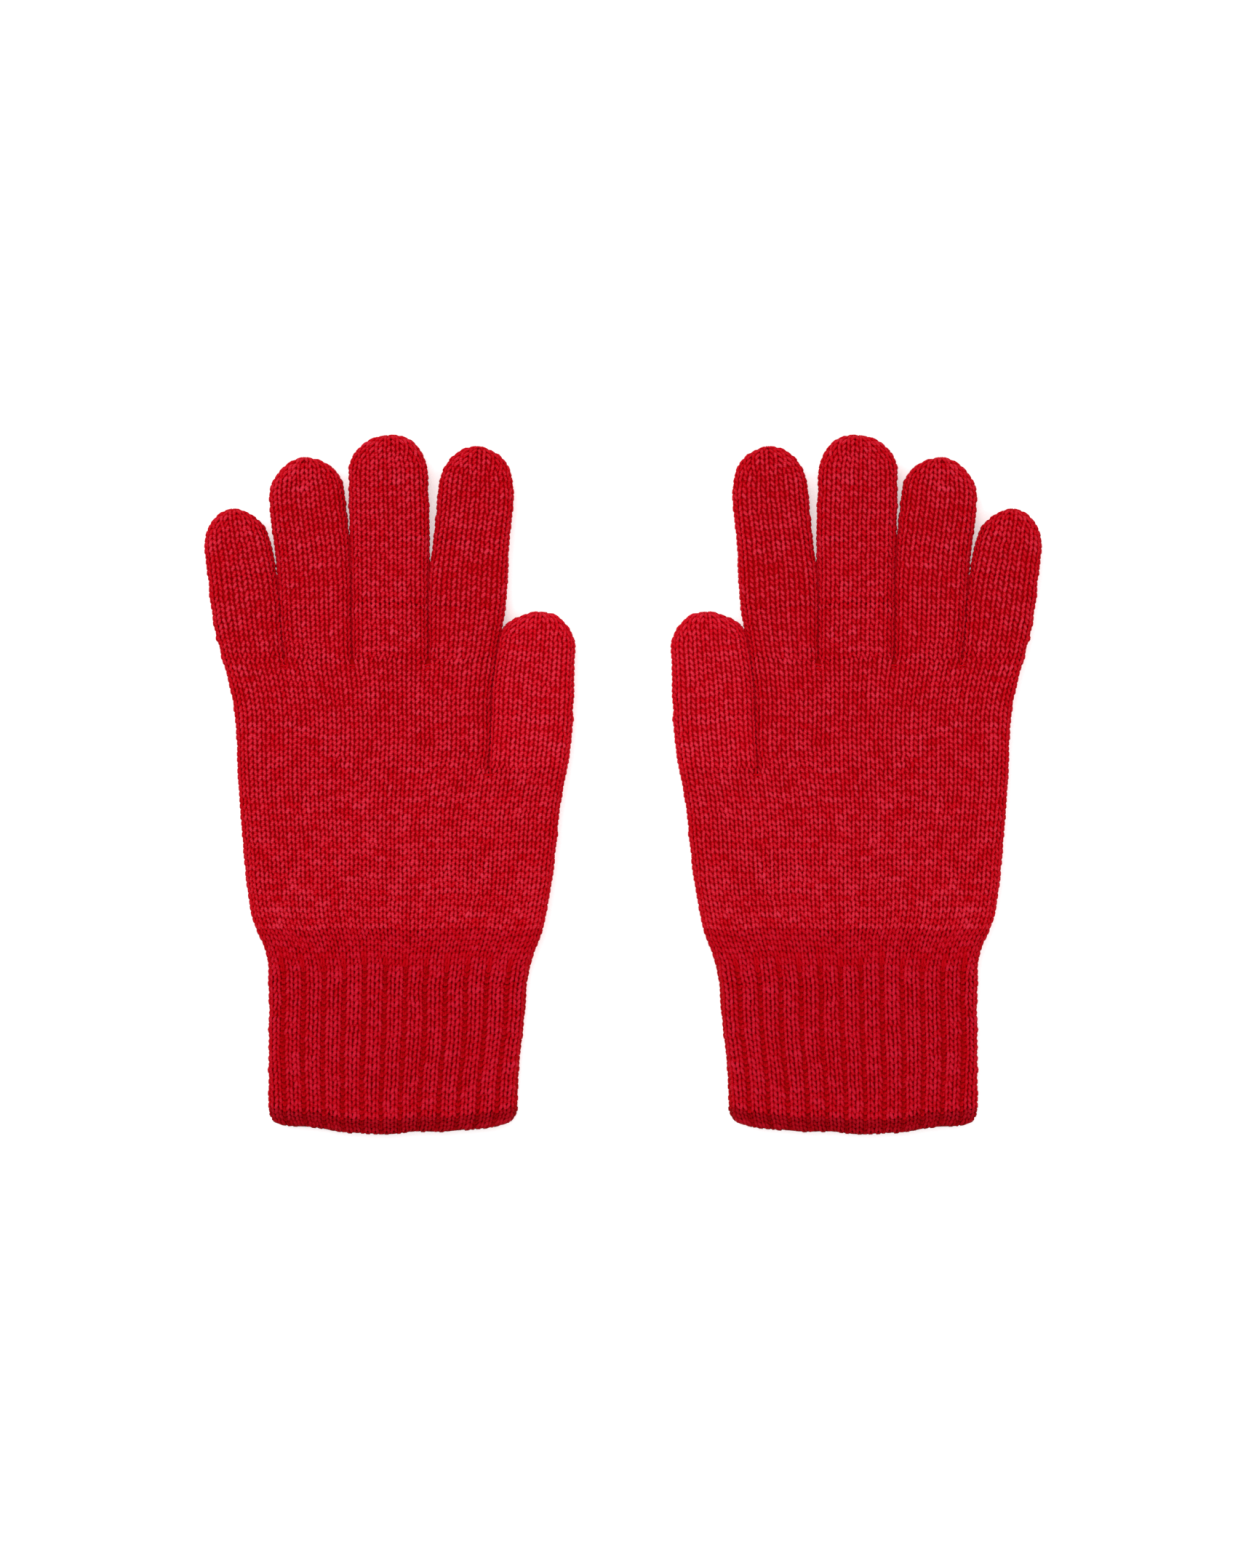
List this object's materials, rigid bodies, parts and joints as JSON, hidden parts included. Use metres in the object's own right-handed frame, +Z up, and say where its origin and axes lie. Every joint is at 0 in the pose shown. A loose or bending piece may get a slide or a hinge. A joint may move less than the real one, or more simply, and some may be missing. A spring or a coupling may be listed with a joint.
{
  "type": "knitted gloves",
  "caption": "Pair of plain seamless knitted gloves with five fingers and a ribbed cuff, laid flat side by side; fingers, thumbs and cuffs fold.",
  "frame": {"origin": "on the surface that the gloves lie on, under the middle of the pair", "axes": "+Y from the cuffs to the fingertips, +X from the left glove to the right one as they lie, +Z up"},
  "size_m": [0.298, 0.25, 0.0136],
  "materials": {
    "finger_knit": "plied wool-type yarn, matte, slightly fuzzy",
    "palm_knit": "plied wool-type yarn, matte, slightly fuzzy",
    "thumb_knit": "plied wool-type yarn, matte, slightly fuzzy",
    "cuff_rib": "plied wool-type yarn, matte, slightly fuzzy",
    "cuff_welt": "plied wool-type yarn, matte, slightly fuzzy",
    "fork_stitches": "plied wool-type yarn, matte, slightly fuzzy"
  },
  "bodies": {
    "left_hand": {"left_upper_palm": "palm_knit", "left_lower_palm": "palm_knit", "left_fork_stitches_little_ring": "fork_stitches", "left_fork_stitches_ring_middle": "fork_stitches", "left_fork_stitches_middle_index": "fork_stitches", "left_fork_stitches_thumb": "fork_stitches"},
    "left_cuff": {"left_cuff": "cuff_rib", "left_cuff_welt": "cuff_welt"},
    "left_little_base": {"left_little_base": "finger_knit"},
    "left_little_middle": {"left_little_middle": "finger_knit"},
    "left_little_end": {"left_little_end": "finger_knit"},
    "left_ring_base": {"left_ring_base": "finger_knit"},
    "left_ring_middle": {"left_ring_middle": "finger_knit"},
    "left_ring_end": {"left_ring_end": "finger_knit"},
    "left_middle_base": {"left_middle_base": "finger_knit"},
    "left_middle_middle": {"left_middle_middle": "finger_knit"},
    "left_middle_end": {"left_middle_end": "finger_knit"},
    "left_index_base": {"left_index_base": "finger_knit"},
    "left_index_middle": {"left_index_middle": "finger_knit"},
    "left_index_end": {"left_index_end": "finger_knit"},
    "left_thumb_base": {"left_thumb_base": "thumb_knit"},
    "left_thumb_end": {"left_thumb_end": "thumb_knit"},
    "right_hand": {"right_upper_palm": "palm_knit", "right_lower_palm": "palm_knit", "right_fork_stitches_little_ring": "fork_stitches", "right_fork_stitches_ring_middle": "fork_stitches", "right_fork_stitches_middle_index": "fork_stitches", "right_fork_stitches_thumb": "fork_stitches"},
    "right_cuff": {"right_cuff": "cuff_rib", "right_cuff_welt": "cuff_welt"},
    "right_little_base": {"right_little_base": "finger_knit"},
    "right_little_middle": {"right_little_middle": "finger_knit"},
    "right_little_end": {"right_little_end": "finger_knit"},
    "right_ring_base": {"right_ring_base": "finger_knit"},
    "right_ring_middle": {"right_ring_middle": "finger_knit"},
    "right_ring_end": {"right_ring_end": "finger_knit"},
    "right_middle_base": {"right_middle_base": "finger_knit"},
    "right_middle_middle": {"right_middle_middle": "finger_knit"},
    "right_middle_end": {"right_middle_end": "finger_knit"},
    "right_index_base": {"right_index_base": "finger_knit"},
    "right_index_middle": {"right_index_middle": "finger_knit"},
    "right_index_end": {"right_index_end": "finger_knit"},
    "right_thumb_base": {"right_thumb_base": "thumb_knit"},
    "right_thumb_end": {"right_thumb_end": "thumb_knit"}
  },
  "joints": [
    {"name": "left_wrist_fold", "type": "hinge", "parent": "left_hand", "child": "left_cuff", "pos_m": [-0.0828, -0.06, 0.012], "axis": [-1, 0, 0], "range_deg": [0, 90]},
    {"name": "left_little_knuckle", "type": "hinge", "parent": "left_hand", "child": "left_little_base", "pos_m": [-0.13322, 0.05154, 0.012], "axis": [0.9913, 0.1318, 0], "range_deg": [0, 75]},
    {"name": "left_little_middle_fold", "type": "hinge", "parent": "left_little_base", "child": "left_little_middle", "pos_m": [-0.13526, 0.0669, 0.012], "axis": [0.9913, 0.1318, 0], "range_deg": [0, 60]},
    {"name": "left_little_end_fold", "type": "hinge", "parent": "left_little_middle", "child": "left_little_end", "pos_m": [-0.13731, 0.08227, 0.012], "axis": [0.9913, 0.1318, 0], "range_deg": [0, 40]},
    {"name": "left_ring_knuckle", "type": "hinge", "parent": "left_hand", "child": "left_ring_base", "pos_m": [-0.1092, 0.05158, 0.012], "axis": [0.9975, 0.0708, 0], "range_deg": [0, 75]},
    {"name": "left_ring_middle_fold", "type": "hinge", "parent": "left_ring_base", "child": "left_ring_middle", "pos_m": [-0.11082, 0.07452, 0.012], "axis": [0.9975, 0.0708, 0], "range_deg": [0, 60]},
    {"name": "left_ring_end_fold", "type": "hinge", "parent": "left_ring_middle", "child": "left_ring_end", "pos_m": [-0.11231, 0.09547, 0.012], "axis": [0.9975, 0.0708, 0], "range_deg": [0, 40]},
    {"name": "left_middle_knuckle", "type": "hinge", "parent": "left_hand", "child": "left_middle_base", "pos_m": [-0.08324, 0.052, 0.012], "axis": [1, 0.0063, 0], "range_deg": [0, 75]},
    {"name": "left_middle_middle_fold", "type": "hinge", "parent": "left_middle_base", "child": "left_middle_middle", "pos_m": [-0.08341, 0.078, 0.012], "axis": [1, 0.0063, 0], "range_deg": [0, 60]},
    {"name": "left_middle_end_fold", "type": "hinge", "parent": "left_middle_middle", "child": "left_middle_end", "pos_m": [-0.08355, 0.101, 0.012], "axis": [1, 0.0063, 0], "range_deg": [0, 40]},
    {"name": "left_index_knuckle", "type": "hinge", "parent": "left_hand", "child": "left_index_base", "pos_m": [-0.05631, 0.05218, 0.012], "axis": [0.9976, -0.0696, 0], "range_deg": [0, 75]},
    {"name": "left_index_middle_fold", "type": "hinge", "parent": "left_index_base", "child": "left_index_middle", "pos_m": [-0.05464, 0.07612, 0.012], "axis": [0.9976, -0.0696, 0], "range_deg": [0, 60]},
    {"name": "left_index_end_fold", "type": "hinge", "parent": "left_index_middle", "child": "left_index_end", "pos_m": [-0.05311, 0.09807, 0.012], "axis": [0.9976, -0.0696, 0], "range_deg": [0, 40]},
    {"name": "left_thumb_root_fold", "type": "hinge", "parent": "left_hand", "child": "left_thumb_base", "pos_m": [-0.03442, 0.00458, 0.012], "axis": [0.8192, -0.5736, 0], "range_deg": [0, 80]},
    {"name": "left_thumb_end_fold", "type": "hinge", "parent": "left_thumb_base", "child": "left_thumb_end", "pos_m": [-0.03169, 0.03661, 0.012], "axis": [0.9972, -0.0745, 0], "range_deg": [0, 70]},
    {"name": "right_wrist_fold", "type": "hinge", "parent": "right_hand", "child": "right_cuff", "pos_m": [0.0828, -0.06, 0.012], "axis": [-1, 0, 0], "range_deg": [0, 90]},
    {"name": "right_little_knuckle", "type": "hinge", "parent": "right_hand", "child": "right_little_base", "pos_m": [0.13322, 0.05154, 0.012], "axis": [0.9913, -0.1318, 0], "range_deg": [0, 75]},
    {"name": "right_little_middle_fold", "type": "hinge", "parent": "right_little_base", "child": "right_little_middle", "pos_m": [0.13526, 0.0669, 0.012], "axis": [0.9913, -0.1318, 0], "range_deg": [0, 60]},
    {"name": "right_little_end_fold", "type": "hinge", "parent": "right_little_middle", "child": "right_little_end", "pos_m": [0.13731, 0.08227, 0.012], "axis": [0.9913, -0.1318, 0], "range_deg": [0, 40]},
    {"name": "right_ring_knuckle", "type": "hinge", "parent": "right_hand", "child": "right_ring_base", "pos_m": [0.1092, 0.05158, 0.012], "axis": [0.9975, -0.0708, 0], "range_deg": [0, 75]},
    {"name": "right_ring_middle_fold", "type": "hinge", "parent": "right_ring_base", "child": "right_ring_middle", "pos_m": [0.11082, 0.07452, 0.012], "axis": [0.9975, -0.0708, 0], "range_deg": [0, 60]},
    {"name": "right_ring_end_fold", "type": "hinge", "parent": "right_ring_middle", "child": "right_ring_end", "pos_m": [0.11231, 0.09547, 0.012], "axis": [0.9975, -0.0708, 0], "range_deg": [0, 40]},
    {"name": "right_middle_knuckle", "type": "hinge", "parent": "right_hand", "child": "right_middle_base", "pos_m": [0.08324, 0.052, 0.012], "axis": [1, -0.0063, 0], "range_deg": [0, 75]},
    {"name": "right_middle_middle_fold", "type": "hinge", "parent": "right_middle_base", "child": "right_middle_middle", "pos_m": [0.08341, 0.078, 0.012], "axis": [1, -0.0063, 0], "range_deg": [0, 60]},
    {"name": "right_middle_end_fold", "type": "hinge", "parent": "right_middle_middle", "child": "right_middle_end", "pos_m": [0.08355, 0.101, 0.012], "axis": [1, -0.0063, 0], "range_deg": [0, 40]},
    {"name": "right_index_knuckle", "type": "hinge", "parent": "right_hand", "child": "right_index_base", "pos_m": [0.05631, 0.05218, 0.012], "axis": [0.9976, 0.0696, 0], "range_deg": [0, 75]},
    {"name": "right_index_middle_fold", "type": "hinge", "parent": "right_index_base", "child": "right_index_middle", "pos_m": [0.05464, 0.07612, 0.012], "axis": [0.9976, 0.0696, 0], "range_deg": [0, 60]},
    {"name": "right_index_end_fold", "type": "hinge", "parent": "right_index_middle", "child": "right_index_end", "pos_m": [0.05311, 0.09807, 0.012], "axis": [0.9976, 0.0696, 0], "range_deg": [0, 40]},
    {"name": "right_thumb_root_fold", "type": "hinge", "parent": "right_hand", "child": "right_thumb_base", "pos_m": [0.03442, 0.00458, 0.012], "axis": [0.8192, 0.5736, 0], "range_deg": [0, 80]},
    {"name": "right_thumb_end_fold", "type": "hinge", "parent": "right_thumb_base", "child": "right_thumb_end", "pos_m": [0.03169, 0.03661, 0.012], "axis": [0.9972, 0.0745, 0], "range_deg": [0, 70]},
    {"name": "right_glove_lift", "type": "slide", "parent": "left_hand", "child": "right_hand", "axis": [0, 0, 1], "range_m": [0, 0.25]}
  ],
  "couplings": [
    {"joint": "left_little_end_fold", "follows": "left_little_middle_fold", "ratio": 0.66},
    {"joint": "left_ring_end_fold", "follows": "left_ring_middle_fold", "ratio": 0.66},
    {"joint": "left_middle_end_fold", "follows": "left_middle_middle_fold", "ratio": 0.66},
    {"joint": "left_index_end_fold", "follows": "left_index_middle_fold", "ratio": 0.66},
    {"joint": "right_little_end_fold", "follows": "right_little_middle_fold", "ratio": 0.66},
    {"joint": "right_ring_end_fold", "follows": "right_ring_middle_fold", "ratio": 0.66},
    {"joint": "right_middle_end_fold", "follows": "right_middle_middle_fold", "ratio": 0.66},
    {"joint": "right_index_end_fold", "follows": "right_index_middle_fold", "ratio": 0.66}
  ]
}
